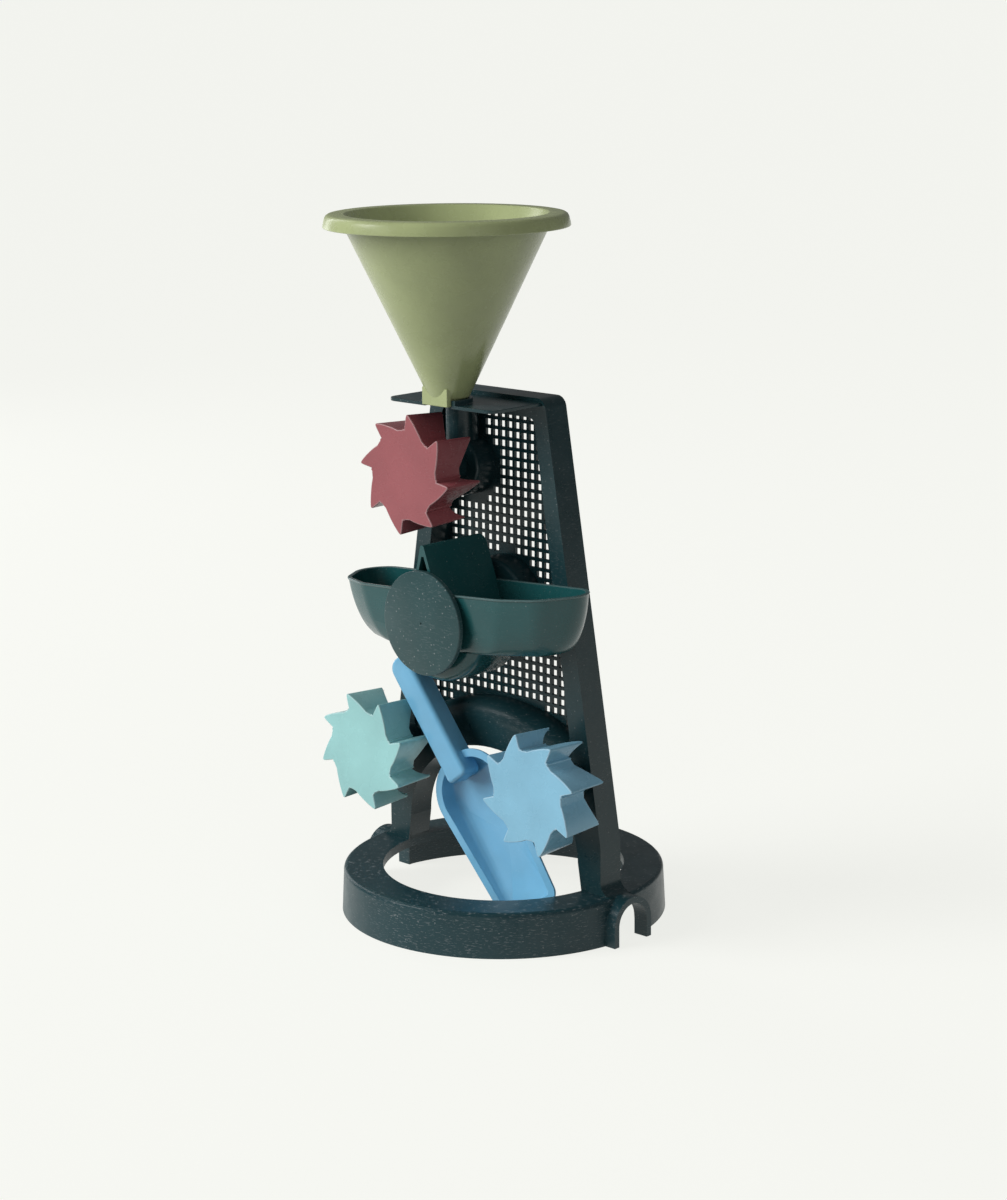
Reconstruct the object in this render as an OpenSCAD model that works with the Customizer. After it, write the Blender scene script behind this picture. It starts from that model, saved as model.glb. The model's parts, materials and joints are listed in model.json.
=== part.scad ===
// Sand wheel toy: a funnel on a meshed tower, three toothed wheels, a tipping
// bucket, a round base ring with two side tunnels, and a loose sand shovel.
// X runs to the side, the front faces -Y and Z runs up from the floor.
// Distances called front or back are counted forwards (-Y) from the ring's centre.

/* [Base ring] */
// Outer radius of the ring at the floor
ring_r = 100; // [94:0.5:108]
// Radius of the round hole through the ring
ring_hole_r = 74.5; // [70:0.5:78]
// Height of the ring's flat top above the floor
ring_h = 27.3; // [26:0.1:32]
// Wall of the ring
ring_wall = 2.4; // [1.8:0.1:3]
// Drop of the lip round the hole
ring_lip_h = 5.5; // [4:0.1:9]
// Draft of the ring's outer wall
ring_draft = 1.3; // [0.6:0.1:2]
// Radius of the ring's top outer edge
ring_edge_r = 2.6; // [1.5:0.1:3.5]

/* [Side tunnels] */
// Width of the tunnel opening
tunnel_w = 24.8; // [20:0.2:28]
// Height of the tunnel opening
tunnel_h = 24.2; // [22:0.1:25]
// Wall of the tunnel's collar
tunnel_wall = 4; // [3:0.1:5]
// How far the collar stands out of the ring
tunnel_out = 6; // [3:0.5:10]

/* [Tower] */
// Height of the tower's top above the floor
tower_h = 321; // [316:1:330]
// Half the width of the tower's top
tower_top_w = 47; // [44:0.5:52]
// Half the width across the two feet
tower_foot_w = 89; // [86:0.5:92]
// Height at which the legs stop tapering
tower_knee_z = 57; // [50:1:70]
// How far the tower's front face stands in front of the ring's centre
tower_front = 10; // [7:0.5:12]
// Depth of the tower from front to back
tower_depth = 18; // [16:0.5:22]
// Wall of the tower's hollow frame
tower_wall = 2.2; // [1.8:0.1:2.8]
// Width of the border beside the mesh
border_w = 11.4; // [9:0.2:14]
// Radius of the fillets at the feet
foot_fillet_r = 8; // [5:0.5:9]
// Half the width of the gap between the legs
gap_w = 71; // [66:0.5:73]
// Height at which the gap starts to round over
gap_z = 44; // [38:1:50]
// Height of the top of the gap
gap_top = 102; // [96:1:106]
// Height of the apron's top edge at its middle
apron_top = 131; // [127:1:135]
// Radius of the curve along the apron's top edge
apron_r = 126; // [110:1:150]
// Radius of the apron's rounded shoulder
apron_shoulder_r = 13; // [8:0.5:14]

/* [Mesh] */
// Distance from one mesh hole to the next
mesh_pitch = 5.88; // [5.4:0.02:6.6]
// Side of a square mesh hole
mesh_hole = 4; // [3:0.1:4.4]
// Thickness of the mesh
mesh_t = 2.2; // [1.2:0.1:2.4]

/* [Shelf and funnel] */
// Height of the shelf's top face
shelf_z = 318.5; // [314:0.5:319]
// Thickness of the shelf
shelf_t = 2; // [1.6:0.1:3]
// Half the width of the shelf
shelf_w = 43.5; // [40:0.5:46]
// Distance of the funnel's axis in front of the ring's centre
funnel_front = 42; // [38:0.5:46]
// Radius of the funnel's rim
funnel_r = 71.6; // [66:0.2:80]
// Height of the funnel's rim above the floor
funnel_top = 428.5; // [415:0.5:440]
// Depth of the skirt under the rim
funnel_skirt_h = 7.8; // [5:0.1:10]
// Width of the flat rim round the mouth
funnel_flange_w = 11.5; // [8:0.1:14]
// Outer radius of the funnel's neck
neck_r = 10.4; // [9:0.1:12]
// Wall of the funnel
funnel_wall = 2; // [1.6:0.1:2.6]
// Length of the neck below the shelf
neck_drop = 4; // [2:0.1:5]
// Height of the flat tab on the front of the neck
tab_h = 10.5; // [8:0.1:14]

/* [Wheels] */
// Radius at the tips of the teeth
wheel_r = 36.8; // [32:0.1:37.5]
// Radius at the valleys between the teeth
valley_r = 25; // [22:0.1:28]
// Number of teeth on a wheel
teeth = 8; // [6:1:10]
// Distance of the wheels' front faces in front of the ring's centre
wheel_front = 53.4; // [50:0.2:56]
// Depth of a blade at its tip
blade_depth = 32.5; // [28:0.5:34]
// Depth of the wheel at the valleys
drum_depth = 22; // [18:0.5:24]
// Wall of the wheels
wheel_wall = 1.9; // [1.5:0.1:2.4]
// Height of the two lower wheels' axles
low_wheel_z = 95.3; // [93:0.5:98]
// Distance of the two lower axles from the middle
low_wheel_x = 70; // [68:0.5:72]
// Height of the top wheel's axle
top_wheel_z = 273.4; // [270:0.5:275]
// Distance of the top axle left of the middle
top_wheel_x = 28; // [26:0.5:30]

/* [Tipping bucket] */
// Height of the bucket's axle
bucket_z = 190.2; // [187:0.2:193]
// Half the length of the bucket along its back
bucket_l = 91.5; // [86:0.5:99]
// Distance of the bucket's front wall in front of the ring's centre
bucket_front = 65; // [63:0.5:67]
// Height of the rim above the axle
rim_h = 18.5; // [16:0.5:21]
// Depth of the bowls below the axle
bowl_drop = 17.5; // [15:0.5:20]
// Height of the roof-shaped divider above the axle
divider_h = 46; // [42:0.5:49]
// Half angle of the divider
divider_angle = 17; // [14:0.5:19]
// Wall of the bucket
bucket_wall = 2; // [1.6:0.1:2.4]
// Radius of the round belly under the bucket
belly_r = 37.5; // [34:0.5:40]
// Radius of the round cover disc
disc_r = 31.4; // [28:0.2:33]
// Thickness of the cover disc
disc_t = 3.2; // [2.4:0.1:4]
// Angle at which the bucket rests, right end up
rest_angle = 3.3; // [0:0.1:5]

/* [Axles] */
// Radius of the axle pins
pin_r = 3.5; // [3:0.1:4]
// Radial running clearance on the pins
pin_gap = 0.05; // [0.03:0.01:0.09]
// Radius of the pins' heads
pin_head_r = 7; // [5.5:0.1:8]
// Thickness of the pins' heads
pin_head_t = 2; // [1.5:0.1:3]

/* [Shovel] */
// Length of the shovel from its tip to the end of its handle
shovel_l = 178; // [165:1:180]
// Length of the scoop
scoop_l = 97; // [90:1:102]
// Half the width of the scoop
scoop_w = 28; // [25:0.5:28.5]
// Half the width of the scoop's tip
tip_w = 23; // [19:0.5:24]
// Depth of the scoop behind its rim
scoop_d = 14; // [11:0.5:15]
// Width of the rim round the scoop
scoop_rim_w = 5.5; // [4:0.1:7]
// Half the width of the handle
handle_w = 8.2; // [7:0.1:8.6]
// How far the handle stands in front of the scoop's rim
handle_front = 6; // [4:0.5:7]
// How far the handle reaches behind the scoop's rim
handle_back = 8; // [5:0.5:9]
// Wall of the shovel
shovel_wall = 1.8; // [1.5:0.1:2.4]
// Lean of the shovel from the vertical, to the side
shovel_angle = 38; // [37:0.5:39]
// Turn of the shovel about its own length
shovel_turn = 6; // [4:0.5:8]

/* [Hidden] */
// Tower
tower_back = tower_front - tower_depth;
tower_slope = (tower_foot_w - tower_top_w) / (tower_h - tower_knee_z);
tower_corner_r = 7;
gap_flare = 2.6;
window_top = shelf_z - shelf_t - 7.5;
window_corner_r = 5;
// Mesh, laid against the back of the frame's inner wall
mesh_front = tower_back + 2.3;
mesh_back = mesh_front - mesh_t;
mesh_seat = 1.1;
mesh_seat_gap = 0.15;
mesh_margin = 0.9;
// Bosses
boss_r = 18.8;
boss_edge_r = 2.4;
boss_neck_r = 10;
boss_neck_gap = 0.5;
bucket_boss_r = 30;
bucket_boss_gap = 0.9;
column_r = 12;
rib_r = 10;
rib_inset = 7;
// Shelf
shelf_front = funnel_front + neck_r - 0.9;
shelf_corner_r = 7;
slot_gap = 0.3;
collar_w = 3.2;
collar_h = 3;
funnel_seat_gap = 0.3;
tab_w = neck_r + 0.3;
tab_t = 1.8;
// Wheels
valley_angle = 2.6;
flank_bow = 0.95;
flank_steps = 5;
tip_round = 0.9;
tip_reach = 1.1;
valley_round = 1.3;
blade_taper_share = 0.955;
blade_sweep = 1.25;
face_t = 2.2;
face_edge = 0.7;
hub_r = 7;
hub_front_gap = 3;
top_phase = 130.5;
left_phase = 109.6;
right_phase = 148.3;
// Snap beads on the pins
bead_h = 0.45;
bead_l = 2;
bead_gap = 0.35;
bead_back = 5;
pin_tip_gap = 0.6;
// Bucket
bucket_back = tower_front + bucket_boss_gap + 0.3;
bucket_end_r = 14.5;
bucket_cheek_r = 19.5;
bucket_nose_r = 12;
bucket_nose_in = 33.5;
bucket_nose_back = 2;
bucket_cheek_in = 6;
bucket_cheek_back = 28.5;
bucket_cheek_reach = 92;
bilge_in = 7;
bowl_end_in = 18;
bowl_levels = 6;
bowl_draft_share = 0.2;
belly_edge_r = 7;
belly_in = 7;
divider_round = 1.6;
divider_corner_r = 5;
divider_back = bucket_back + 1.3;
bucket_hub_r = 8.5;
disc_spigot_r = 5;
disc_spigot_l = 4;
disc_edge_r = 0.8;
disc_dot_r = 0.7;
// Shovel
shovel_x = 53;
shovel_y = 30;
shovel_z = 13;
tip_r = 5;
shoulder_r = 21;
scoop_round_r = 10;
handle_round_r = 2.6;
handle_end_r = 7.5;
handle_overlap = 13;
// The whole toy is set so that its box is centred over the origin
frame_shift = (funnel_front + funnel_r - ring_r) / 2;
cut = 1;
$fn = 96;
hull_fn = 32;
boat_fn = 24;

// Half the tower's width at a height
function tower_half(z) = z < tower_knee_z ? tower_foot_w : tower_foot_w - (z - tower_knee_z) * tower_slope;

// Half the mesh window's width at a height
function window_half(z) = tower_half(z) - border_w;

// Height of the apron's top edge at a distance from the middle
function apron_edge(x) = apron_top - apron_r + sqrt(apron_r * apron_r - x * x);

// Point on a circle
function polar(r, a) = [r * cos(a), r * sin(a)];

// Shape drawn in X and Z, thickened between two distances forwards
module slab(front, back) {
    translate([0, -back, 0]) rotate([90, 0, 0]) linear_extrude(front - back) children();
}

// Profile of radius and distance forwards, turned about an axle at x and z
module turned(x, z) {
    translate([x, 0, z]) rotate([90, 0, 0]) rotate_extrude() children();
}

// Round bar along an axle
module bar(x, z, r, front, back) {
    translate([x, -back, z]) rotate([90, 0, 0]) cylinder(r = r, h = front - back);
}

module both_sides() {
    children();
    mirror([1, 0, 0]) children();
}

module placed() {
    translate([0, frame_shift, 0]) children();
}

// Base ring

module ring_profile() {
    top_r = ring_r - ring_draft;
    difference() {
        union() {
            polygon([[ring_hole_r, ring_h - ring_lip_h], [ring_hole_r, ring_h],
                     [top_r - ring_edge_r, ring_h], [top_r, ring_h - ring_edge_r], [ring_r, 0],
                     [ring_r - ring_wall, 0],
                     [top_r - ring_wall, ring_h - ring_wall - ring_edge_r],
                     [top_r - ring_wall - ring_edge_r, ring_h - ring_wall],
                     [ring_hole_r + ring_wall, ring_h - ring_wall],
                     [ring_hole_r + ring_wall, ring_h - ring_lip_h]]);
            translate([top_r - ring_edge_r, ring_h - ring_edge_r]) circle(ring_edge_r);
        }
        square([ring_hole_r, ring_h]);
    }
}

module tunnel_outline(w, h) {
    translate([-w / 2, -cut]) square([w, h - w / 2 + cut]);
    translate([0, h - w / 2]) circle(w / 2);
}

module tunnel(w, h, from, to) {
    translate([from, 0, 0]) rotate([90, 0, 90]) linear_extrude(to - from) tunnel_outline(w, h);
}

module base_ring() {
    collar_from = ring_r - ring_draft - ring_wall;
    placed() color([0.12, 0.2, 0.21]) difference() {
        union() {
            rotate_extrude() ring_profile();
            both_sides() intersection() {
                tunnel(tunnel_w + 2 * tunnel_wall, tunnel_h + tunnel_wall, collar_from, ring_r + tunnel_out);
                translate([0, -ring_r, 0]) cube([2 * ring_r, 2 * ring_r, 2 * ring_h]);
            }
        }
        both_sides() tunnel(tunnel_w, tunnel_h, ring_hole_r + ring_wall + cut, ring_r + tunnel_out + cut);
    }
}

// Tower

module tower_outline() {
    hull() both_sides() {
        translate([tower_top_w - tower_corner_r, tower_h - tower_corner_r]) circle(tower_corner_r, $fn = hull_fn);
        polygon([[0, ring_h], [tower_foot_w, ring_h], [tower_foot_w, tower_knee_z], [0, tower_knee_z]]);
    }
    both_sides() difference() {
        translate([tower_foot_w, ring_h]) square(foot_fillet_r);
        translate([tower_foot_w + foot_fillet_r, ring_h + foot_fillet_r]) circle(foot_fillet_r);
    }
}

module leg_gap() {
    polygon([[gap_w + gap_flare, ring_h - cut], [gap_w + gap_flare, ring_h],
             for (a = [0:5:180]) [gap_w * cos(a), gap_z + (gap_top - gap_z) * sin(a)],
             [-gap_w - gap_flare, ring_h], [-gap_w - gap_flare, ring_h - cut]]);
}

// Opening for the mesh, down to a curve that runs a distance below the apron's top edge
module window_outline(below, r) {
    bottom_w = window_half(apron_top - below);
    offset(r = r, $fn = hull_fn) offset(delta = -r)
        polygon([[-window_half(window_top), window_top],
                 for (k = [-8:8]) [bottom_w * k / 8, apron_edge(bottom_w * k / 8) - below],
                 [window_half(window_top), window_top]]);
}

module frame_face() {
    difference() {
        tower_outline();
        leg_gap();
        window_outline(apron_shoulder_r, window_corner_r);
    }
}

// Rounded band along the apron's top, as radius from the curve's centre and distance forwards
module apron_profile(inset) {
    outer = apron_r - inset;
    inner = apron_r - apron_shoulder_r - 4 * tower_wall;
    face = tower_front - inset;
    round_r = apron_shoulder_r - inset;
    intersection() {
        translate([inner, mesh_front]) square([outer - inner, face - mesh_front]);
        union() {
            translate([outer - round_r, face - round_r]) circle(round_r);
            translate([inner, mesh_front]) square([outer - round_r - inner, face - mesh_front]);
            translate([inner, mesh_front]) square([outer - inner, face - round_r - mesh_front]);
        }
    }
}

module apron_band(inset) {
    intersection() {
        turned(0, apron_top - apron_r) apron_profile(inset);
        slab(tower_front + cut, tower_back) difference() {
            offset(delta = -inset) tower_outline();
            offset(delta = inset) leg_gap();
        }
    }
}

module boss(x, z) {
    turned(x, z) difference() {
        union() {
            translate([0, mesh_front]) square([boss_r, tower_front - boss_edge_r - mesh_front]);
            square([boss_r - boss_edge_r, tower_front]);
            translate([boss_r - boss_edge_r, tower_front - boss_edge_r]) circle(boss_edge_r);
        }
        translate([-boss_r, mesh_front]) square([boss_r, tower_front - mesh_front]);
    }
}

module wheel_stub(x, z) {
    stub_end = wheel_front - drum_depth - boss_neck_gap;
    bar(x, z, boss_neck_r, stub_end, tower_front - tower_wall);
}

module tower_frame() {
    placed() color([0.1, 0.17, 0.18]) difference() {
        union() {
            difference() {
                slab(tower_front, tower_back) frame_face();
                slab(tower_front - tower_wall, tower_back - cut) offset(delta = -tower_wall) frame_face();
            }
            difference() {
                apron_band(0);
                apron_band(tower_wall);
            }
            boss(-top_wheel_x, top_wheel_z);
            intersection() {
                translate([-top_wheel_x, -tower_front + rib_inset, top_wheel_z])
                    cylinder(r = rib_r, h = shelf_z - shelf_t - top_wheel_z);
                slab(tower_front + rib_r, mesh_front) tower_outline();
            }
            wheel_stub(-top_wheel_x, top_wheel_z);
            both_sides() {
                bar(low_wheel_x, low_wheel_z, column_r, tower_front - tower_wall / 2, tower_back);
                wheel_stub(low_wheel_x, low_wheel_z);
            }
        }
        slab(mesh_front, tower_back - cut) offset(delta = mesh_seat + mesh_seat_gap)
            window_outline(0, window_corner_r);
        bar(-top_wheel_x, top_wheel_z, pin_r, wheel_front, tower_back - cut);
        both_sides() bar(low_wheel_x, low_wheel_z, pin_r, wheel_front, tower_back - cut);
    }
}

// Mesh

// A hole belongs where all of it lies inside the window and clear of the bosses
function mesh_clear(x, z) =
    let (reach = mesh_hole / 2 + mesh_margin, corner = mesh_hole / 2 * sqrt(2) + mesh_margin)
    abs(x) + reach < window_half(z + reach)
    && z - reach > apron_edge(abs(x) + reach) && z + reach < window_top
    && norm([x, z - bucket_z]) > bucket_boss_r + corner
    && norm([x + top_wheel_x, z - top_wheel_z]) > boss_r + corner
    && (z < top_wheel_z || abs(x + top_wheel_x) > rib_r + reach);

mesh_cols = ceil(window_half(apron_top) / mesh_pitch);
mesh_rows = ceil((window_top - apron_top) / mesh_pitch) + 2;
mesh_centres = [for (i = [-mesh_cols:mesh_cols], j = [0:mesh_rows])
    let (p = [(i + 0.5) * mesh_pitch, window_top - (j + 0.6) * mesh_pitch])
    if (mesh_clear(p[0], p[1])) p];

module mesh_holes() {
    half = mesh_hole / 2;
    corners = [[-half, -half], [half, -half], [half, half], [-half, half]];
    count = len(mesh_centres);
    polygon([for (p = mesh_centres) for (c = corners) p + c],
            [for (k = [0:count - 1]) [4 * k, 4 * k + 1, 4 * k + 2, 4 * k + 3]]);
}

module mesh_screen() {
    placed() color([0.1, 0.17, 0.18]) difference() {
        slab(mesh_front, mesh_back) difference() {
            offset(delta = mesh_seat) window_outline(0, window_corner_r);
            mesh_holes();
        }
        bar(-top_wheel_x, top_wheel_z, pin_r, mesh_front + cut, mesh_back - cut);
        bar(0, bucket_z, pin_r, mesh_front + cut, mesh_back - cut);
    }
}

module bucket_boss() {
    face = tower_front;
    placed() color([0.1, 0.17, 0.18]) turned(0, bucket_z) difference() {
        union() {
            translate([pin_r, mesh_front]) square([bucket_boss_r - pin_r, face - boss_edge_r - mesh_front]);
            translate([pin_r, mesh_front]) square([bucket_boss_r - boss_edge_r - pin_r, face - mesh_front]);
            translate([bucket_boss_r - boss_edge_r, face - boss_edge_r]) circle(boss_edge_r);
        }
    }
}

// Shelf

module shelf_slot(r, reach) {
    circle(r);
    translate([-r, -reach]) square([2 * r, reach]);
}

module shelf_outline() {
    depth = shelf_front - tower_front;
    translate([0, -tower_front - depth / 2]) offset(r = shelf_corner_r, $fn = hull_fn)
        square([2 * (shelf_w - shelf_corner_r), depth - 2 * shelf_corner_r], center = true);
    translate([-shelf_w, -tower_front - depth / 2]) square([2 * shelf_w, depth / 2]);
}

module shelf() {
    slot_r = neck_r + slot_gap;
    placed() color([0.13, 0.22, 0.23]) difference() {
        union() {
            translate([0, 0, shelf_z - shelf_t]) linear_extrude(shelf_t) shelf_outline();
            translate([0, 0, shelf_z - shelf_t]) linear_extrude(shelf_t + collar_h) intersection() {
                translate([0, -funnel_front]) shelf_slot(slot_r + collar_w, shelf_front - funnel_front);
                translate([-shelf_w, -shelf_front]) square([2 * shelf_w, shelf_front - tower_front]);
            }
        }
        translate([0, -funnel_front, shelf_z - shelf_t - cut]) linear_extrude(shelf_t + collar_h + 2 * cut)
            shelf_slot(slot_r, shelf_front);
    }
}

// Funnel

module funnel_profile() {
    mouth_r = funnel_r - funnel_flange_w;
    seat_z = shelf_z + collar_h + funnel_seat_gap;
    neck_z = shelf_z - shelf_t - neck_drop;
    edge_r = funnel_wall;
    cone_top = funnel_top - funnel_wall;
    polygon([[neck_r, neck_z], [neck_r, seat_z], [mouth_r, cone_top],
             [funnel_r - edge_r, cone_top], [funnel_r - edge_r, funnel_top - funnel_skirt_h],
             [funnel_r, funnel_top - funnel_skirt_h], [funnel_r, funnel_top - edge_r],
             for (a = [30, 60]) [funnel_r - edge_r, funnel_top - edge_r] + polar(edge_r, a),
             [funnel_r - edge_r, funnel_top], [mouth_r - funnel_wall, funnel_top],
             [neck_r - funnel_wall, seat_z + funnel_wall], [neck_r - funnel_wall, neck_z]]);
}

module funnel() {
    tab_front = shelf_front;
    seat_z = shelf_z + funnel_seat_gap;
    placed() color([0.54, 0.6, 0.42]) {
        translate([0, -funnel_front, 0]) rotate_extrude() funnel_profile();
        difference() {
            translate([-tab_w, -tab_front, seat_z]) cube([2 * tab_w, tab_t + neck_r / 2, tab_h]);
            translate([0, -funnel_front, seat_z - cut]) cylinder(r = neck_r - funnel_wall / 2, h = tab_h + 2 * cut);
            translate([-tab_w - cut, -tab_front + tab_t, seat_z - cut]) cube([cut, neck_r, tab_h + 2 * cut]);
        }
    }
}

// Wheels

// One tooth: from a valley along a slightly bowed flank to a tip, which falls back steeply
function tooth(base) =
    let (from = polar(valley_r, base + valley_angle), to = polar(wheel_r + tip_reach, base + 360 / teeth),
         way = to - from, side = [way[1], -way[0]] / norm(way))
    [for (k = [0:flank_steps])
        let (s = k / flank_steps) from + s * way + side * flank_bow * 4 * s * (1 - s)];

module star(phase) {
    offset(r = tip_round, $fn = hull_fn) offset(delta = -tip_round - valley_round)
        offset(r = valley_round, $fn = hull_fn)
            polygon([for (k = [0:teeth - 1]) each tooth(phase + k * 360 / teeth)]);
}

module blade_wall(phase) {
    linear_extrude(blade_depth, scale = blade_taper_share) difference() {
        star(phase);
        offset(delta = -wheel_wall) star(phase);
    }
}

// Space behind the wheel: the blades sweep back from the valleys to their tips
module blade_trim() {
    rotate_extrude() polygon([[0, drum_depth], [valley_r * blade_taper_share, drum_depth],
        for (k = [1:5]) let (s = k / 5)
            [valley_r * blade_taper_share + (wheel_r - valley_r) * s,
             drum_depth + (blade_depth - drum_depth) * pow(s, blade_sweep)],
        [wheel_r + cut, blade_depth], [wheel_r + cut, blade_depth + cut], [0, blade_depth + cut]]);
}

// Bore that runs on a pin, with a pocket for the pin's snap bead
module pin_bore(front, back) {
    bead_front = front - bead_back;
    rotate_extrude() union() {
        translate([0, -front]) square([pin_r + pin_gap, front - back + cut]);
        translate([0, -bead_front - bead_gap]) square([pin_r + bead_h + bead_gap, bead_l + 2 * bead_gap]);
    }
}

module wheel(x, z, phase) {
    bore_front = wheel_front - hub_front_gap;
    back = wheel_front - drum_depth;
    placed() translate([x, -wheel_front, z]) rotate([-90, 0, 0]) mirror([0, 1, 0]) difference() {
        union() {
            linear_extrude(face_t) offset(delta = -face_edge) star(phase);
            translate([0, 0, face_edge]) linear_extrude(face_t - face_edge) star(phase);
            difference() {
                blade_wall(phase);
                blade_trim();
            }
            cylinder(r = hub_r, h = drum_depth);
        }
        translate([0, 0, wheel_front]) pin_bore(bore_front, back);
    }
}

module top_wheel() {
    color([0.65, 0.38, 0.41]) wheel(-top_wheel_x, top_wheel_z, top_phase);
}

module left_wheel() {
    color([0.62, 0.83, 0.82]) wheel(-low_wheel_x, low_wheel_z, left_phase);
}

module right_wheel() {
    color([0.53, 0.74, 0.86]) mirror([1, 0, 0]) wheel(-low_wheel_x, low_wheel_z, 180 - right_phase);
}

// Axles

// Pin pushed in from the back, with a head, a shaft and a snap bead near its tip
module axle(x, z, bore_front, back) {
    tip_front = bore_front - pin_tip_gap;
    bead_front = bore_front - bead_back;
    placed() color([0.1, 0.17, 0.18]) turned(x, z)
        polygon([[0, back - pin_head_t], [pin_head_r - pin_head_t / 3, back - pin_head_t],
                 [pin_head_r, back - pin_head_t * 2 / 3], [pin_head_r, back], [pin_r, back],
                 [pin_r, bead_front - bead_l], [pin_r + bead_h, bead_front - bead_l * 2 / 3],
                 [pin_r + bead_h, bead_front - bead_l / 3], [pin_r, bead_front],
                 [pin_r, tip_front - pin_r / 3], [pin_r * 2 / 3, tip_front], [0, tip_front]]);
}

module top_axle() {
    axle(-top_wheel_x, top_wheel_z, wheel_front - hub_front_gap, mesh_back);
}

module left_axle() {
    axle(-low_wheel_x, low_wheel_z, wheel_front - hub_front_gap, tower_back);
}

module right_axle() {
    axle(low_wheel_x, low_wheel_z, wheel_front - hub_front_gap, tower_back);
}

// Tipping bucket

// Side of the boat from its bottom to the rim, coming in by that much at the bottom
function boat_side(reach, inset, come_in, lift) =
    [for (k = [bowl_levels:-1:0])
        let (a = 90 * k / bowl_levels, t = sin(a), in = bowl_draft_share * t + (1 - bowl_draft_share) * (1 - cos(a)))
            [reach - inset - come_in * in, rim_h - (rim_h + bowl_drop - inset) * t],
     [reach - inset, rim_h + lift]];

module boat_plan(inset) {
    nose_x = bucket_l - bucket_nose_in;
    cheek_x = bucket_l - bucket_cheek_in - bucket_cheek_r;
    end_x = bucket_l - bucket_end_r;
    hull() both_sides() {
        translate([nose_x, bucket_nose_back + bucket_nose_r - bucket_front])
            circle(bucket_nose_r - inset, $fn = boat_fn);
        translate([cheek_x, bucket_cheek_back - bucket_front]) circle(bucket_cheek_r - inset, $fn = boat_fn);
        translate([end_x, -bucket_back - bucket_end_r]) circle(bucket_end_r - inset, $fn = boat_fn);
        translate([0, inset - bucket_front]) square([nose_x / 3, bucket_wall / 4]);
    }
}

module cheek_cut(side, low, high) {
    rotate([90, 0, -45]) linear_extrude(4 * bucket_l, center = true)
        polygon(concat(side, [[-2 * bucket_l, high], [-2 * bucket_l, low]]));
}

// Boat shape: its plan, its long and cross sections and its cheeks taken together
module boat(inset, lift) {
    ends = boat_side(bucket_l, inset, bowl_end_in, lift);
    front = boat_side(bucket_front, inset, bilge_in, lift);
    cheek = boat_side(bucket_cheek_reach, inset, bowl_end_in, lift);
    back = bucket_back + inset;
    intersection() {
        translate([0, 0, -bowl_drop + inset]) linear_extrude(bowl_drop + rim_h + lift - inset) boat_plan(inset);
        slab(bucket_front, bucket_back) mirrored(ends);
        rotate([90, 0, -90]) linear_extrude(2 * bucket_l, center = true)
            polygon(concat(front, [[back, rim_h + lift], [back, inset - bowl_drop]]));
        cheek_cut(cheek, inset - bowl_drop, rim_h + lift);
        mirror([1, 0, 0]) cheek_cut(cheek, inset - bowl_drop, rim_h + lift);
    }
}

// Roof shape over the axle, with its ridge rounded
module divider_outline(inset) {
    centre = divider_h - divider_round;
    r = max(divider_round - inset, divider_round / 8);
    top = centre - (divider_round - inset > 0 ? 0 : (inset - divider_round) / sin(divider_angle));
    foot = -bowl_drop - divider_round;
    side = r * cos(divider_angle) + (top + r * sin(divider_angle) - foot) * tan(divider_angle);
    polygon([[side, foot], for (a = [divider_angle:(90 - divider_angle) / 4:180 - divider_angle])
        [0, top] + polar(r, a), [-side, foot]]);
}

// Side view of the divider, with its upper back corner rounded
module divider_side() {
    top_back = -divider_back - divider_corner_r;
    top = divider_h - divider_corner_r;
    polygon([[-bucket_front, -bowl_drop], [-divider_back, -bowl_drop],
             for (a = [0:15:90]) [top_back, top] + polar(divider_corner_r, a),
             [-bucket_front, divider_h]]);
}

module divider() {
    intersection() {
        slab(bucket_front, divider_back) difference() {
            divider_outline(0);
            divider_outline(bucket_wall);
        }
        rotate([90, 0, 90]) linear_extrude(2 * bucket_l, center = true) divider_side();
        boat(bucket_wall / 2, 2 * rim_h);
    }
}

module belly(inset) {
    front = bucket_front - belly_in;
    back = bucket_back + belly_in;
    r = belly_r - inset;
    edge = belly_edge_r - inset;
    intersection() {
        turned(0, 0) union() {
            translate([0, back]) square([r, front - belly_edge_r - back]);
            translate([0, back]) square([r - edge, front - inset - back]);
            translate([r - edge, front - belly_edge_r]) circle(edge);
        }
        translate([-belly_r, -bucket_front, -belly_r])
            cube([2 * belly_r, bucket_front - bucket_back, belly_r - bowl_drop + bucket_wall * 0.8]);
    }
}

module tipping_bucket() {
    bore_front = bucket_front - disc_spigot_l - bucket_wall;
    placed() color([0.2, 0.36, 0.36]) translate([0, 0, bucket_z]) rotate([0, -rest_angle, 0]) difference() {
        union() {
            difference() {
                boat(0, 0);
                boat(bucket_wall, 2 * rim_h);
            }
            divider();
            difference() {
                belly(0);
                belly(bucket_wall);
            }
            bar(0, 0, bucket_hub_r, bucket_front - bucket_wall / 2, bucket_back + bucket_wall / 2);
        }
        translate([0, -bucket_front - cut, 0]) rotate([-90, 0, 0])
            cylinder(r = disc_spigot_r, h = disc_spigot_l + cut);
        rotate([-90, 0, 0]) pin_bore(bore_front, bucket_back);
    }
}

module bucket_disc() {
    face = bucket_front + disc_t;
    placed() color([0.27, 0.35, 0.36]) translate([0, 0, bucket_z]) rotate([0, -rest_angle, 0]) difference() {
        turned(0, 0) polygon([[0, bucket_front - disc_spigot_l], [disc_spigot_r, bucket_front - disc_spigot_l],
            [disc_spigot_r, bucket_front], [disc_r, bucket_front], [disc_r, face - disc_edge_r],
            [disc_r - disc_edge_r / 3, face - disc_edge_r / 3], [disc_r - disc_edge_r, face], [0, face]]);
        translate([0, -face, 0]) sphere(disc_dot_r, $fn = 24);
    }
}

module bucket_axle() {
    axle(0, bucket_z, bucket_front - disc_spigot_l - bucket_wall, mesh_back);
}

// Shovel, drawn along +Z from its tip, with the hollow of the scoop to the front

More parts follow.
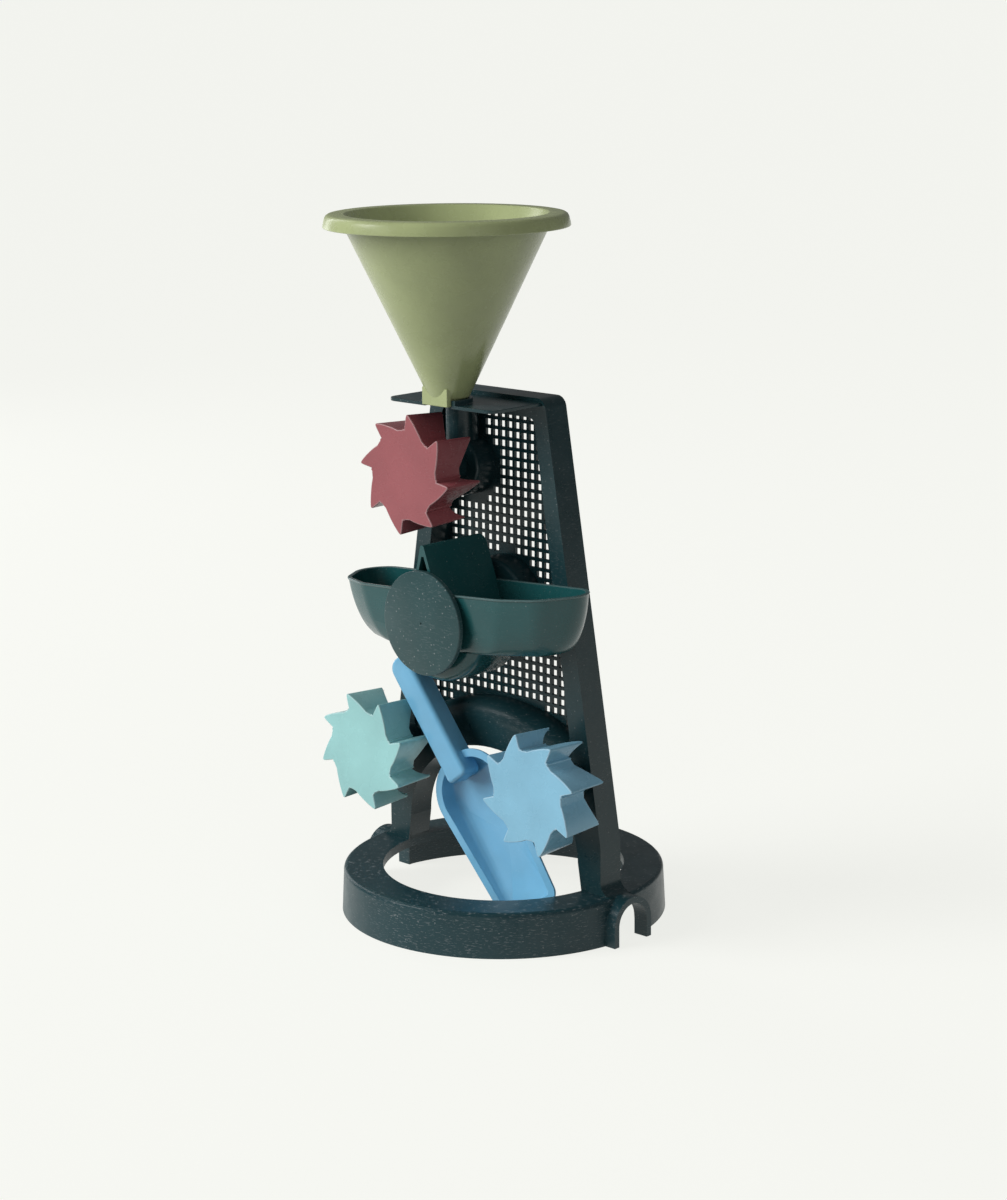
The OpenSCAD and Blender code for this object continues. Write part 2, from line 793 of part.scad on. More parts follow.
module scoop_outline(inset) {
    hull() both_sides() {
        translate([tip_w - tip_r, tip_r]) circle(tip_r - inset * 0.6, $fn = hull_fn);
        translate([scoop_w - shoulder_r, scoop_l - shoulder_r]) circle(shoulder_r - inset, $fn = hull_fn);
    }
}

// Long section of the scoop: shallow at its tip, deepest near the handle
module scoop_section(inset) {
    r = scoop_round_r - inset;
    hull() {
        translate([-cut, scoop_rim_w / 2 + inset]) square([cut, scoop_l - scoop_rim_w - 2 * inset]);
        translate([scoop_d - scoop_round_r, scoop_l - scoop_rim_w - scoop_round_r]) circle(r, $fn = hull_fn);
        translate([scoop_d - scoop_round_r, scoop_l * 0.4]) circle(r, $fn = hull_fn);
    }
}

module scoop_cross(inset) {
    r = scoop_round_r - inset;
    side = scoop_w - scoop_rim_w + shovel_wall;
    hull() {
        translate([inset - side, -cut]) square([2 * (side - inset), cut]);
        both_sides() translate([side - scoop_round_r - shovel_wall, scoop_d - scoop_round_r])
            circle(r, $fn = hull_fn);
    }
}

module bowl(inset, front) {
    rim = scoop_rim_w - shovel_wall + inset;
    intersection() {
        translate([0, scoop_d + cut, 0]) rotate([90, 0, 0]) linear_extrude(scoop_d + cut + front)
            scoop_outline(rim);
        rotate([90, 0, 90]) linear_extrude(2 * scoop_w, center = true) scoop_section(inset);
        linear_extrude(scoop_l) scoop_cross(inset);
    }
}

// Both halves of a mirrored outline, from the points of its right half
module mirrored(points) {
    count = len(points);
    polygon(concat(points, [for (k = [1:count]) [-points[count - k][0], points[count - k][1]]]));
}

module handle_outline(inset) {
    r = handle_round_r - inset;
    end_r = handle_end_r - inset;
    foot = [handle_w - handle_round_r, scoop_l - handle_overlap + handle_round_r];
    end = [handle_w - handle_end_r, shovel_l - handle_end_r];
    mirrored(concat([for (a = [-90:15:0]) foot + polar(r, a)], [for (a = [0:9:90]) end + polar(end_r, a)]));
}

module handle_cross(inset, reach) {
    corner = [handle_w - handle_round_r, handle_round_r - handle_front];
    mirrored(concat([for (a = [-90:15:0]) corner + polar(handle_round_r - inset, a)],
                    [[handle_w - inset, reach]]));
}

module handle(inset, from, reach) {
    intersection() {
        translate([0, reach + cut, 0]) rotate([90, 0, 0]) linear_extrude(handle_front + reach + 2 * cut)
            handle_outline(inset);
        translate([0, 0, from]) linear_extrude(shovel_l + cut - from) handle_cross(inset, reach);
    }
}

module shovel_body() {
    difference() {
        union() {
            difference() {
                union() {
                    bowl(0, -shovel_wall / 2);
                    translate([0, shovel_wall, 0]) rotate([90, 0, 0]) linear_extrude(shovel_wall)
                        scoop_outline(0);
                }
                bowl(shovel_wall, cut);
            }
            handle(0, scoop_l / 2, handle_back);
        }
        handle(shovel_wall, scoop_l, handle_back + cut);
    }
}

module shovel() {
    placed() color([0.43, 0.66, 0.8]) translate([shovel_x, -shovel_y, shovel_z])
        rotate([0, -shovel_angle, 0]) rotate([0, 0, shovel_turn]) shovel_body();
}

base_ring();
tower_frame();
mesh_screen();
bucket_boss();
shelf();
funnel();
top_wheel();
left_wheel();
right_wheel();
top_axle();
left_axle();
right_axle();
tipping_bucket();
bucket_disc();
bucket_axle();
shovel();
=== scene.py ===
import json
import math

import bmesh
import bpy
from bpy.props import FloatProperty, FloatVectorProperty, IntProperty, PointerProperty
from mathutils import Matrix, Vector

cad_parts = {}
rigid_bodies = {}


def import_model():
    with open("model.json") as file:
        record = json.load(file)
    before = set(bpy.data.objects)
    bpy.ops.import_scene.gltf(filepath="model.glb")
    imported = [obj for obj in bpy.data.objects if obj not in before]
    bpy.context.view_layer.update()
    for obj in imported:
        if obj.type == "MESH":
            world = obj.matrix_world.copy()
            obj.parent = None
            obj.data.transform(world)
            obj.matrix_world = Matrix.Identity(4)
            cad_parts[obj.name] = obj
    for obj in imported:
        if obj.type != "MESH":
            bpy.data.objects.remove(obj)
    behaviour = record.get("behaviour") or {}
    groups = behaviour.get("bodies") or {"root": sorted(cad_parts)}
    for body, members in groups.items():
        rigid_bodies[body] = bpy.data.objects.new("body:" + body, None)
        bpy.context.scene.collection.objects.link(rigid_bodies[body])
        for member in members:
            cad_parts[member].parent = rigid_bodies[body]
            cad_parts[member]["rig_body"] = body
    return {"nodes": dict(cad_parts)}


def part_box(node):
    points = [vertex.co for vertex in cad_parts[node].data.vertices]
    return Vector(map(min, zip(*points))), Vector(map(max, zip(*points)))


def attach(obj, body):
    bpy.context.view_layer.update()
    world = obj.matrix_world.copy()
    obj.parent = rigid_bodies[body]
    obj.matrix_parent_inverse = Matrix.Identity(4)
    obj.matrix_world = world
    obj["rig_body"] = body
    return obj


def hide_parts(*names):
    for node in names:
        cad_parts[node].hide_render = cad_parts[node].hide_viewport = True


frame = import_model()

bl_info = {
    "name": "Sand wheel toy",
    "version": (1, 0, 0),
    "blender": (4, 5, 0),
    "location": "View3D > Sidebar > Sand Wheel",
    "description": "Dresses the packed sand wheel toy: its moulded pieces, their plastics and the stage",
    "category": "Object",
}

MM = 0.001
RING_LOW, RING_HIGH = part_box("base_ring")
RING_Y = (RING_LOW.y + RING_HIGH.y) / 2
AXLE_LOW, AXLE_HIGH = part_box("bucket_axle")
BUCKET_Z = (AXLE_LOW.z + AXLE_HIGH.z) / 2 / MM


def at(x, front, z):
    """Point in metres from millimetres: to the side, in front of the ring's centre, and up."""
    return Vector((x * MM, RING_Y - front * MM, z * MM))


# Sizes, colours and finishes that a user would change

def length(name, description, default):
    return FloatProperty(name=name, description=description + ", in millimetres", default=default, min=0.05)


def part(name, description, default, least=0.0, most=1.0):
    return FloatProperty(name=name, description=description, default=default, min=least, max=most)


def colour(name, default):
    return FloatVectorProperty(name=name, description="Colour of the plastic", subtype="COLOR",
                               size=3, min=0.0, max=1.0, default=default)


class SandWheelFunnel(bpy.types.PropertyGroup):
    """Sizes of the funnel, whose height and flange radius follow its solid"""
    neck: length("Neck", "Radius of the neck", 10.4)
    throat: length("Throat", "Radius of the bore through the neck", 8.4)
    foot: length("Foot", "Radius of the cone where it stands on the neck", 11.9)
    flange: length("Flange", "Width of the flange round the cone", 9.6)
    sheet: length("Sheet", "Thickness of the flange", 2.4)
    skirt: length("Skirt", "Height of the edge that hangs from the flange", 7.8)
    tab_width: length("Tab width", "Width of the tab in front of the neck", 20.6)
    tab_height: length("Tab height", "Height of the tab in front of the neck", 10.6)
    tab_sheet: length("Tab sheet", "Thickness of the tab in front of the neck", 3.4)


class SandWheelWheels(bpy.types.PropertyGroup):
    """Sizes of the three toothed wheels"""
    tip_radius: length("Tip radius", "Radius to the tips of the teeth", 36.8)
    valley_radius: length("Valley radius", "Radius to the valleys between the teeth", 25.0)
    drum_depth: length("Drum depth", "Depth of the wall in the valleys", 20.5)
    blade_depth: length("Blade depth", "Depth of the wall at the tips", 29.8)
    wall: length("Wall", "Thickness of the wall", 1.9)
    face: length("Face", "Thickness of the front", 2.2)
    bow: length("Bow", "How far a tooth's long flank bows out", 1.25)
    teeth: IntProperty(name="Teeth", description="Teeth on each wheel", default=8, min=5, max=16)


class SandWheelBucket(bpy.types.PropertyGroup):
    """Sizes of the tipping bucket"""
    half: length("Half length", "From the axle to either end", 91.5)
    front: length("Front", "How far its front stands before the ring's centre", 65.0)
    back: length("Back", "How far its back stands before the ring's centre", 11.2)
    rim: length("Rim", "Height of the rim over the axle", 18.5)
    drop: length("Drop", "Depth of the bowls' floor under the axle", 17.5)
    wall: length("Wall", "Thickness of the wall", 2.0)
    divider: length("Divider", "Height of the divider over the axle", 46.0)
    belly: length("Belly", "Radius of the round belly", 37.5)
    tilt: FloatProperty(name="Tilt", description="How far its right end stands up at rest, in degrees",
                        default=3.3, min=-9.0, max=9.0)


class SandWheelShovel(bpy.types.PropertyGroup):
    """Sizes of the loose shovel"""
    scoop: length("Scoop length", "Length of the scoop", 108.5)
    tip_half: length("Tip half width", "Half the scoop's width at its tip", 23.0)
    tip_round: length("Tip rounding", "Radius of the corners at the tip", 7.0)
    back_half: length("Back half width", "Half the scoop's width at its back", 28.5)
    back_round: length("Back rounding", "Radius of the scoop's back", 25.5)
    depth: length("Depth", "Depth of the scoop", 13.0)
    sheet: length("Sheet", "Thickness of the scoop", 1.6)
    handle_from: length("Handle from", "Where the handle begins, from the tip", 93.0)
    handle_to: length("Handle to", "Where the handle ends, from the tip", 178.0)
    grip_half: length("Grip half width", "Half the handle's width", 8.2)
    grip_wall: length("Grip wall", "Thickness of the hollow handle's wall", 1.8)


class SandWheelSkins(bpy.types.PropertyGroup):
    """Finish of the plastics and of their edges"""
    dark_roughness: part("Dark roughness", "Roughness of the dark plastics", 0.3, 0.05)
    bright_roughness: part("Bright roughness", "Roughness of the bright plastics", 0.26, 0.05)
    edge: length("Edge rounding", "Rounding along moulded edges", 0.5)
    thin_edge: length("Thin edge rounding", "Rounding along thin walls", 0.35)
    blade_edge: length("Blade edge rounding", "Rounding along the wheels' front edges", 0.7)
    # The paler edges are a painted highlight along lips and blade edges, where moulded edges catch the
    # light
    edge_wear: part("Edge wear", "How much paler the plastic is along lips and blade edges", 0.15)
    steps: IntProperty(name="Steps", description="Steps round the funnel", default=160, min=48, max=256)


class SandWheelColours(bpy.types.PropertyGroup):
    """Colours of the plastics"""
    # The tower's tint is the base ring's petrol plastic painted darker, painted shade over the recessed
    # tower
    petrol: colour("Tower", (0.009, 0.034, 0.04))
    ring_petrol: colour("Base ring", (0.012, 0.044, 0.053))
    teal: colour("Tipping bucket", (0.012, 0.08, 0.083))
    grey_teal: colour("Cover disc", (0.022, 0.064, 0.068))
    sage: colour("Funnel", (0.4, 0.455, 0.225))
    burgundy: colour("Top wheel", (0.335, 0.092, 0.104))
    mint: colour("Left wheel", (0.335, 0.64, 0.635))
    blue: colour("Right wheel", (0.24, 0.51, 0.68))
    # The shovel's tint is the right wheel's blue painted deeper, painted shade in the scoop
    deep_blue: colour("Shovel", (0.175, 0.455, 0.68))


class SandWheelStage(bpy.types.PropertyGroup):
    """Floor, backdrop and lights"""
    background: FloatVectorProperty(
        name="Background", description="Colour of the floor and the backdrop", subtype="COLOR",
        size=3, min=0.0, max=1.0, default=(0.905, 0.913, 0.871))
    bounce: part("Bounce", "Share of the light that the floor throws back", 0.5)
    floor_even: part("Evenness", "How much of the floor's look is even glow", 0.78)
    floor_glow: part("Floor glow", "Strength of the floor's even glow", 1.127, most=5.0)
    key_strength: part("Key light", "Strength of the key light", 2.4, most=20.0)
    fill_strength: part("Fill light", "Strength of the fill light", 0.35, most=20.0)
    sky_strength: part("Soft light", "Strength of the light all round", 0.16, most=5.0)


# Plastics

# Cycles a metre of the patterns in the plastic
SWIRL, FLECKS, SCUFFS, PATCHES, SATIN, SKIN = 38.0, 360.0, 300.0, 24.0, 90.0, 700.0

# Roughness to start from and what is added, then flecks, scuffs, shine and the share of the painted edge
# highlight
PLAIN_FINISH = ("bright_roughness", 0.0, 0.12, 0.08, 0.5, 1.0)
FINISHES = {
    "petrol": ("dark_roughness", 0.0, 0.15, 0.2, 0.38, 0.3),
    "ring_petrol": ("dark_roughness", 0.04, 0.25, 0.6, 0.4, 0.3),
    "teal": ("dark_roughness", -0.06, 0.16, 0.08, 0.5, 0.4),
    "grey_teal": ("dark_roughness", 0.08, 0.32, 0.25, 0.45, 0.3),
    "burgundy": ("bright_roughness", 0.0, 0.3, 0.12, 0.5, 1.0),
    "deep_blue": ("bright_roughness", -0.08, 0.08, 0.08, 0.6, 1.0),
}


def link(tree, start, end):
    tree.links.new(start, end)


def noise(tree, coords, scale, detail, roughness=0.5):
    node = tree.nodes.new("ShaderNodeTexNoise")
    node.inputs["Scale"].default_value = scale
    node.inputs["Detail"].default_value = detail
    node.inputs["Roughness"].default_value = roughness
    link(tree, coords, node.inputs["Vector"])
    return node.outputs["Fac"]


def remap(tree, value, low, high, to_low, to_high):
    node = tree.nodes.new("ShaderNodeMapRange")
    for name, number in (("From Min", low), ("From Max", high), ("To Min", to_low), ("To Max", to_high)):
        node.inputs[name].default_value = number
    link(tree, value, node.inputs["Value"])
    return node.outputs["Result"]


def math_node(tree, operation, first, second):
    node = tree.nodes.new("ShaderNodeMath")
    node.operation = operation
    for socket, value in zip(node.inputs, (first, second)):
        if isinstance(value, float):
            socket.default_value = value
        else:
            link(tree, value, socket)
    return node.outputs["Value"]


def mix_colour(tree, factor, first, second):
    node = tree.nodes.new("ShaderNodeMix")
    node.data_type = "RGBA"
    link(tree, factor, node.inputs[0])
    for socket, value in ((node.inputs[6], first), (node.inputs[7], second)):
        if isinstance(value, tuple):
            socket.default_value = value
        else:
            link(tree, value, socket)
    return node.outputs[2]


def shade(tint, factor):
    return tuple(min(1.0, c * factor) for c in tint) + (1.0,)


def pale(tint, amount):
    return tuple(c + (1 - c) * amount for c in tint) + (1.0,)


def moulded_plastic(name, tint, roughness, fleck, scuff, shine):
    """Recycled moulded plastic: a faint swirl, pale flecks, fine scuffs and a satin skin."""
    material = bpy.data.materials.new(name)
    material.use_nodes = True
    tree = material.node_tree
    bsdf = tree.nodes["Principled BSDF"]
    coords = tree.nodes.new("ShaderNodeTexCoord").outputs["Object"]

    swirl = remap(tree, noise(tree, coords, SWIRL, 4.0), 0.35, 0.65, 0.0, 1.0)
    body = mix_colour(tree, swirl, shade(tint, 0.93), shade(tint, 1.05))

    cells = tree.nodes.new("ShaderNodeTexVoronoi")
    cells.inputs["Scale"].default_value = FLECKS
    link(tree, coords, cells.inputs["Vector"])
    dot = remap(tree, cells.outputs["Distance"], 0.19, 0.10, 0.0, 1.0)
    chance = remap(tree, cells.outputs["Color"], 0.68, 0.80, 0.0, 1.0)
    flecks = math_node(tree, "MULTIPLY", math_node(tree, "MULTIPLY", dot, chance), fleck)
    body = mix_colour(tree, flecks, body, pale(tint, 0.6))

    stretch = tree.nodes.new("ShaderNodeMapping")
    stretch.inputs["Scale"].default_value = (1.0, 1.0, 5.0)
    link(tree, coords, stretch.inputs["Vector"])
    lines = remap(tree, noise(tree, stretch.outputs["Vector"], SCUFFS, 5.0, 0.65), 0.56, 0.66, 0.0, 1.0)
    patches = remap(tree, noise(tree, coords, PATCHES, 2.0), 0.35, 0.60, 0.25, 1.0)
    scuffs = math_node(tree, "MULTIPLY", math_node(tree, "MULTIPLY", lines, patches), scuff)
    body = mix_colour(tree, scuffs, body, pale(tint, 0.25))
    link(tree, body, bsdf.inputs["Base Color"])

    satin = remap(tree, noise(tree, coords, SATIN, 3.0), 0.3, 0.7, roughness - 0.04, roughness + 0.05)
    rough = math_node(tree, "ADD", satin, math_node(tree, "MULTIPLY", scuffs, 0.25))
    link(tree, rough, bsdf.inputs["Roughness"])
    bsdf.inputs["IOR"].default_value = 1.49
    bsdf.inputs["Specular IOR Level"].default_value = shine

    bump = tree.nodes.new("ShaderNodeBump")
    bump.inputs["Strength"].default_value = 0.25
    bump.inputs["Distance"].default_value = 0.00012
    skin = math_node(tree, "ADD", noise(tree, coords, SKIN, 3.0), math_node(tree, "MULTIPLY", scuffs, 0.6))
    link(tree, skin, bump.inputs["Height"])
    link(tree, bump.outputs["Normal"], bsdf.inputs["Normal"])
    return material


def plastic(context, key, worn=False):
    """The plastic of that name, made once, or its paler kind, a painted highlight along edges."""
    name = ("worn_" if worn else "moulded_") + key
    if name in bpy.data.materials:
        return bpy.data.materials[name]
    tint = tuple(getattr(context.scene.sand_wheel_colours, key))
    skins = context.scene.sand_wheel_skins
    start, added, fleck, scuff, shine, highlight_share = FINISHES.get(key, PLAIN_FINISH)
    # Paler copy of the plastic: a painted highlight
    if worn:
        tint = pale(tint, highlight_share * skins.edge_wear)[:3]
    return moulded_plastic(name, tint, getattr(skins, start) + added, fleck, scuff, shine)


# Making a piece

def finish_piece(context, bm, name, node, key, rounding, angle=30.0, segments=3, marked=False, worn=False):
    """Makes the mesh an object with rounded edges that replaces a node and rides on its body."""
    mesh = bpy.data.meshes.new(name)
    bm.to_mesh(mesh)
    bm.free()
    mesh.shade_smooth()
    mesh.set_sharp_from_angle(angle=math.radians(angle))
    piece = bpy.data.objects.new(name, mesh)
    context.scene.collection.objects.link(piece)
    mesh.materials.append(plastic(context, key))
    if worn:
        mesh.materials.append(plastic(context, key, worn=True))
    if rounding:
        bevel = piece.modifiers.new("edges", "BEVEL")
        bevel.width = rounding * MM
        bevel.segments = segments
        bevel.limit_method = "WEIGHT" if marked else "ANGLE"
        bevel.use_clamp_overlap = not marked
        bevel.angle_limit = math.radians(angle)
        bevel.harden_normals = True
        # Bevelled faces of marked pieces take the paler plastic, a painted highlight
        bevel.material = 1 if marked and worn else -1
    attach(piece, frame["nodes"][node]["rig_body"])
    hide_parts(node)
    return piece


def refined(node):
    """Copy of a node's mesh with its triangles joined into whole faces."""
    bm = bmesh.new()
    bm.from_mesh(frame["nodes"][node].data)
    bmesh.ops.remove_doubles(bm, verts=bm.verts, dist=2e-6)
    bmesh.ops.dissolve_limit(bm, angle_limit=math.radians(0.7), verts=bm.verts, edges=bm.edges)
    return bm


def middle(node):
    """Centre of a node's box."""
    low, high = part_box(node)
    return (low + high) / 2


def spun(profile, centre, axis, steps):
    """Closed profile of radius and height in millimetres, turned once about an axis through centre."""
    bm = bmesh.new()
    side = Vector((1, 0, 0))
    ring = [bm.verts.new(centre + side * r * MM + axis * h * MM) for r, h in profile]
    edges = [bm.edges.new((ring[k - 1], ring[k])) for k in range(1, len(ring))]
    bmesh.ops.spin(bm, geom=ring + edges, cent=centre, axis=axis, angle=math.tau, steps=steps,
                   use_merge=True, use_duplicate=False)
    bmesh.ops.remove_doubles(bm, verts=bm.verts, dist=1e-6)
    bmesh.ops.recalc_face_normals(bm, faces=bm.faces)
    return bm


def loft(bm, rings):
    """Skin over closed rings of points, with its two ends closed; returns the edges of each ring."""
    loops = [[bm.verts.new(point) for point in ring] for ring in rings]
    for near, far in zip(loops, loops[1:]):
        for k in range(len(near)):
            bm.faces.new((near[k - 1], near[k], far[k], far[k - 1]))
    for end in (loops[0], loops[-1]):
        bm.faces.new(end)
    bmesh.ops.recalc_face_normals(bm, faces=bm.faces)
    return [[bm.edges.get((loop[k - 1], loop[k])) for k in range(len(loop))] for loop in loops]


def join(bm, other):
    """Adds the other mesh to bm and frees it."""
    mesh = bpy.data.meshes.new("part")
    other.to_mesh(mesh)
    other.free()
    bm.from_mesh(mesh)
    bpy.data.meshes.remove(mesh)


def round_outline(rounds, inset, steps, shift=0.5):
    """Outline drawn tight round circles given by centre and radius, on both sides of the middle."""
    line = []
    for k in range(steps):
        turn = math.tau * (k + shift) / steps
        way = (math.cos(turn), math.sin(turn))
        x, y, r = max(((sign * cx, cy, r) for cx, cy, r in rounds for sign in (1, -1)),
                      key=lambda c: c[0] * way[0] + c[1] * way[1] + c[2])
        line.append((x + (r - inset) * way[0], y + (r - inset) * way[1]))
    return line


# Stage

class SANDWHEEL_OT_stage(bpy.types.Operator):
    """Makes the floor, the lights and the camera"""
    bl_idname = "sandwheel.stage"
    bl_label = "Stage"

    def execute(self, context):
        stage = context.scene.sand_wheel_stage
        self.make_camera(context)
        self.make_floor(context, stage)
        self.make_world(context, stage)
        self.make_lights(context, stage)
        context.scene.view_settings.view_transform = "Standard"
        return {"FINISHED"}

    def make_camera(self, context):
        turn, down, roll = (math.radians(angle) for angle in (43.686, 12.9, -0.55))
        ahead = Vector((-math.sin(turn) * math.cos(down), math.cos(turn) * math.cos(down), -math.sin(down)))
        right = Vector((math.cos(turn), math.sin(turn), 0))
        up = right.cross(ahead)
        tilted_right = right * math.cos(roll) + up * math.sin(roll)
        tilted_up = up * math.cos(roll) - right * math.sin(roll)
        data = bpy.data.cameras.new("camera")
        data.sensor_fit = "AUTO"
        data.sensor_width = 36.0
        data.lens = 80.52
        data.clip_end = 1000.0
        camera = bpy.data.objects.new("camera", data)
        context.scene.collection.objects.link(camera)
        camera.matrix_world = Matrix.Translation(at(1094.9, 1144.1, 555.4)) @ Matrix(
            (tilted_right, tilted_up, -ahead)).transposed().to_4x4()
        context.scene.camera = camera

    def make_floor(self, context, stage):
        bm = bmesh.new()
        bmesh.ops.create_grid(bm, x_segments=1, y_segments=1, size=300.0)
        bmesh.ops.translate(bm, verts=bm.verts, vec=(0, 0, -0.2 * MM))
        mesh = bpy.data.meshes.new("floor")
        bm.to_mesh(mesh)
        bm.free()
        floor = bpy.data.objects.new("floor", mesh)
        context.scene.collection.objects.link(floor)
        mesh.materials.append(self.floor_card(stage))

    def floor_card(self, stage):
        """Pale card that keeps the shadow faint, and throws less light back than it shows"""
        material = bpy.data.materials.new("floor_card")
        material.use_nodes = True
        tree = material.node_tree
        tree.nodes.remove(tree.nodes["Principled BSDF"])
        pale_card = tuple(stage.background) + (1.0,)
        card, dull, glow = (tree.nodes.new(kind) for kind in (
            "ShaderNodeBsdfDiffuse", "ShaderNodeBsdfDiffuse", "ShaderNodeEmission"))
        card.inputs["Color"].default_value = pale_card
        dull.inputs["Color"].default_value = shade(stage.background, stage.bounce)
        glow.inputs["Color"].default_value = pale_card
        glow.inputs["Strength"].default_value = stage.floor_glow
        lit, seen = (tree.nodes.new("ShaderNodeMixShader") for k in range(2))
        lit.inputs["Fac"].default_value = stage.floor_even
        link(tree, card.outputs["BSDF"], lit.inputs[1])
        link(tree, glow.outputs["Emission"], lit.inputs[2])
        rays = tree.nodes.new("ShaderNodeLightPath").outputs
        mirrored = math_node(tree, "MAXIMUM", rays["Is Glossy Ray"], rays["Is Transmission Ray"])
        link(tree, math_node(tree, "MAXIMUM", rays["Is Camera Ray"], mirrored), seen.inputs["Fac"])
        link(tree, dull.outputs["BSDF"], seen.inputs[1])
        link(tree, lit.outputs["Shader"], seen.inputs[2])
        link(tree, seen.outputs["Shader"], tree.nodes["Material Output"].inputs["Surface"])
        return material

    def make_world(self, context, stage):
        """Soft white light all round, behind a backdrop that only the camera sees"""
        world = bpy.data.worlds.new("soft_light")
        world.use_nodes = True
        context.scene.world = world
        tree = world.node_tree
        plain = tree.nodes["Background"]
        plain.inputs["Color"].default_value = (1.0, 1.0, 1.0, 1.0)
        plain.inputs["Strength"].default_value = stage.sky_strength
        backdrop = tree.nodes.new("ShaderNodeBackground")
        backdrop.inputs["Color"].default_value = tuple(stage.background) + (1.0,)
        rays = tree.nodes.new("ShaderNodeLightPath")
        mixer = tree.nodes.new("ShaderNodeMixShader")
        link(tree, rays.outputs["Is Camera Ray"], mixer.inputs["Fac"])
        link(tree, plain.outputs["Background"], mixer.inputs[1])
        link(tree, backdrop.outputs["Background"], mixer.inputs[2])
        link(tree, mixer.outputs["Shader"], tree.nodes["World Output"].inputs["Surface"])

    def make_lights(self, context, stage):
        """Two broad suns that leave no highlight, and three boxes of light that do"""
        for name, spot, energy, angle in (
                ("key", at(-700, 1150, 720), stage.key_strength, 40),
                ("fill", at(1300, 500, 700), stage.fill_strength, 60)):
            lamp = bpy.data.lights.new(name, "SUN")
            lamp.energy = energy
            lamp.angle = math.radians(angle)
            self.place(context, lamp, spot, at(0, 0, 180)).visible_glossy = False
        for name, spot, width, height, energy in (
                ("left_box", at(-2000, -300, 900), 0.5, 1.8, 6.0),
                ("high_box", at(-1200, 1300, 1500), 0.7, 0.7, 9.0),
                ("right_box", at(2300, 900, 800), 0.2, 1.6, 1.2)):
            box = bpy.data.lights.new(name, "AREA")
            box.shape = "RECTANGLE"
            box.size = width
            box.size_y = height
            box.energy = energy
            self.place(context, box, spot, at(0, 20, 220))

    def place(self, context, light, spot, target):
        lamp = bpy.data.objects.new(light.name, light)
        context.scene.collection.objects.link(lamp)
        lamp.location = spot
        lamp.rotation_mode = "QUATERNION"
        lamp.rotation_quaternion = (target - spot).to_track_quat("-Z", "Y")
        return lamp


# Stand

class SANDWHEEL_OT_base_ring(bpy.types.Operator):
    """Makes the round base ring with its two side tunnels"""
    bl_idname = "sandwheel.base_ring"
    bl_label = "Base ring"

    def execute(self, context):
        skins = context.scene.sand_wheel_skins
        finish_piece(context, refined("base_ring"), "ring", "base_ring", "ring_petrol", skins.edge * 2)
        return {"FINISHED"}


class SANDWHEEL_OT_tower(bpy.types.Operator):
    """Makes the tower's frame, its mesh, the bucket's boss and the shelf"""
    bl_idname = "sandwheel.tower"
    bl_label = "Tower"

    def execute(self, context):
        skins = context.scene.sand_wheel_skins
        for name, node, rounding in (
                ("tower", "tower_frame", skins.edge), ("mesh", "mesh_screen", skins.thin_edge * 0.6),
                ("boss", "bucket_boss", 0.0), ("shelf_plate", "shelf", skins.thin_edge)):
            bm = refined(node)
            if node == "bucket_boss":
                self.swell(bm, middle(node))
            finish_piece(context, bm, name, node, "petrol", rounding, segments=2)
        return {"FINISHED"}

    def swell(self, bm, centre):
        """Makes the boss a hair larger, so that it shares no plane with the tower's web"""
        bmesh.ops.scale(bm, vec=(1.01, 1.02, 1.01), verts=bm.verts, space=Matrix.Translation(-centre))


class SANDWHEEL_OT_axles(bpy.types.Operator):
    """Makes the four axle pins"""
    bl_idname = "sandwheel.axles"
    bl_label = "Axles"

    def execute(self, context):
        for node in ("top_axle", "left_axle", "right_axle", "bucket_axle"):
            finish_piece(context, refined(node), node + "_pin", node, "petrol", 0.0)
        return {"FINISHED"}


# Funnel

# How far each point of the flange's rolled edge stands in from it and down from the top
ROLLED_EDGE = ((0.2, 6.0), (1.0, 2.6), (1.8, 1.1), (3.0, 0.3), (4.6, 0.0), (12.4, 0.0), (13.6, 1.0))
# Heights over the foot of the solid funnel: where the neck ends, and where the cone begins
NECK_END, SEAT = 5.0, 9.3
# The tab's middle: in front of the ring's centre and up
TAB_FRONT, TAB_Z = 52.6, 322.9


class SANDWHEEL_OT_funnel(bpy.types.Operator):
    """Turns the funnel and adds the tab at its neck"""
    bl_idname = "sandwheel.funnel"
    bl_label = "Funnel"

    def execute(self, context):
        size = context.scene.sand_wheel_funnel
        skins = context.scene.sand_wheel_skins
        low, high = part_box("funnel")
        centre = middle("funnel")
        centre.z = 0
        bm = spun(self.profile(size, low.z / MM, high.z / MM, (high.x - low.x) / 2 / MM), centre,
                  Vector((0, 0, 1)), skins.steps)
        join(bm, self.tab(size))
        finish_piece(context, bm, "funnel_cone", "funnel", "sage", skins.edge)
        return {"FINISHED"}

    def profile(self, size, bottom, top, r):
        neck, seat = bottom + NECK_END, bottom + SEAT
        outside = [(size.neck, neck), (size.neck, seat), (size.foot, seat),
                   (r - size.flange, top - size.sheet)]
        skirt = [(r - 2.2, top - size.sheet), (r - 1.8, top - size.skirt), (r, top - size.skirt)]
        flange = [(r - back, top - down) for back, down in ROLLED_EDGE]
        inside = [(size.throat + 1.5, seat + 2), (size.throat, seat + 1), (size.throat, neck),
                  (size.neck, neck)]
        return outside + skirt + flange + inside

    def tab(self, size):
        bm = bmesh.new()
        bmesh.ops.create_cube(bm, size=1.0)
        box = Vector((size.tab_width, size.tab_sheet, size.tab_height)) * MM
        bmesh.ops.scale(bm, vec=box, verts=bm.verts)
        bmesh.ops.translate(bm, vec=at(0, TAB_FRONT, TAB_Z), verts=bm.verts)
        return bm


# Wheels

# How far a tooth's tip would reach past its radius if it were sharp, and the rounding of tips and valleys
SHARP_TIP, TIP_ROUND, VALLEY_ROUND = 1.1, 1.15, 2.3
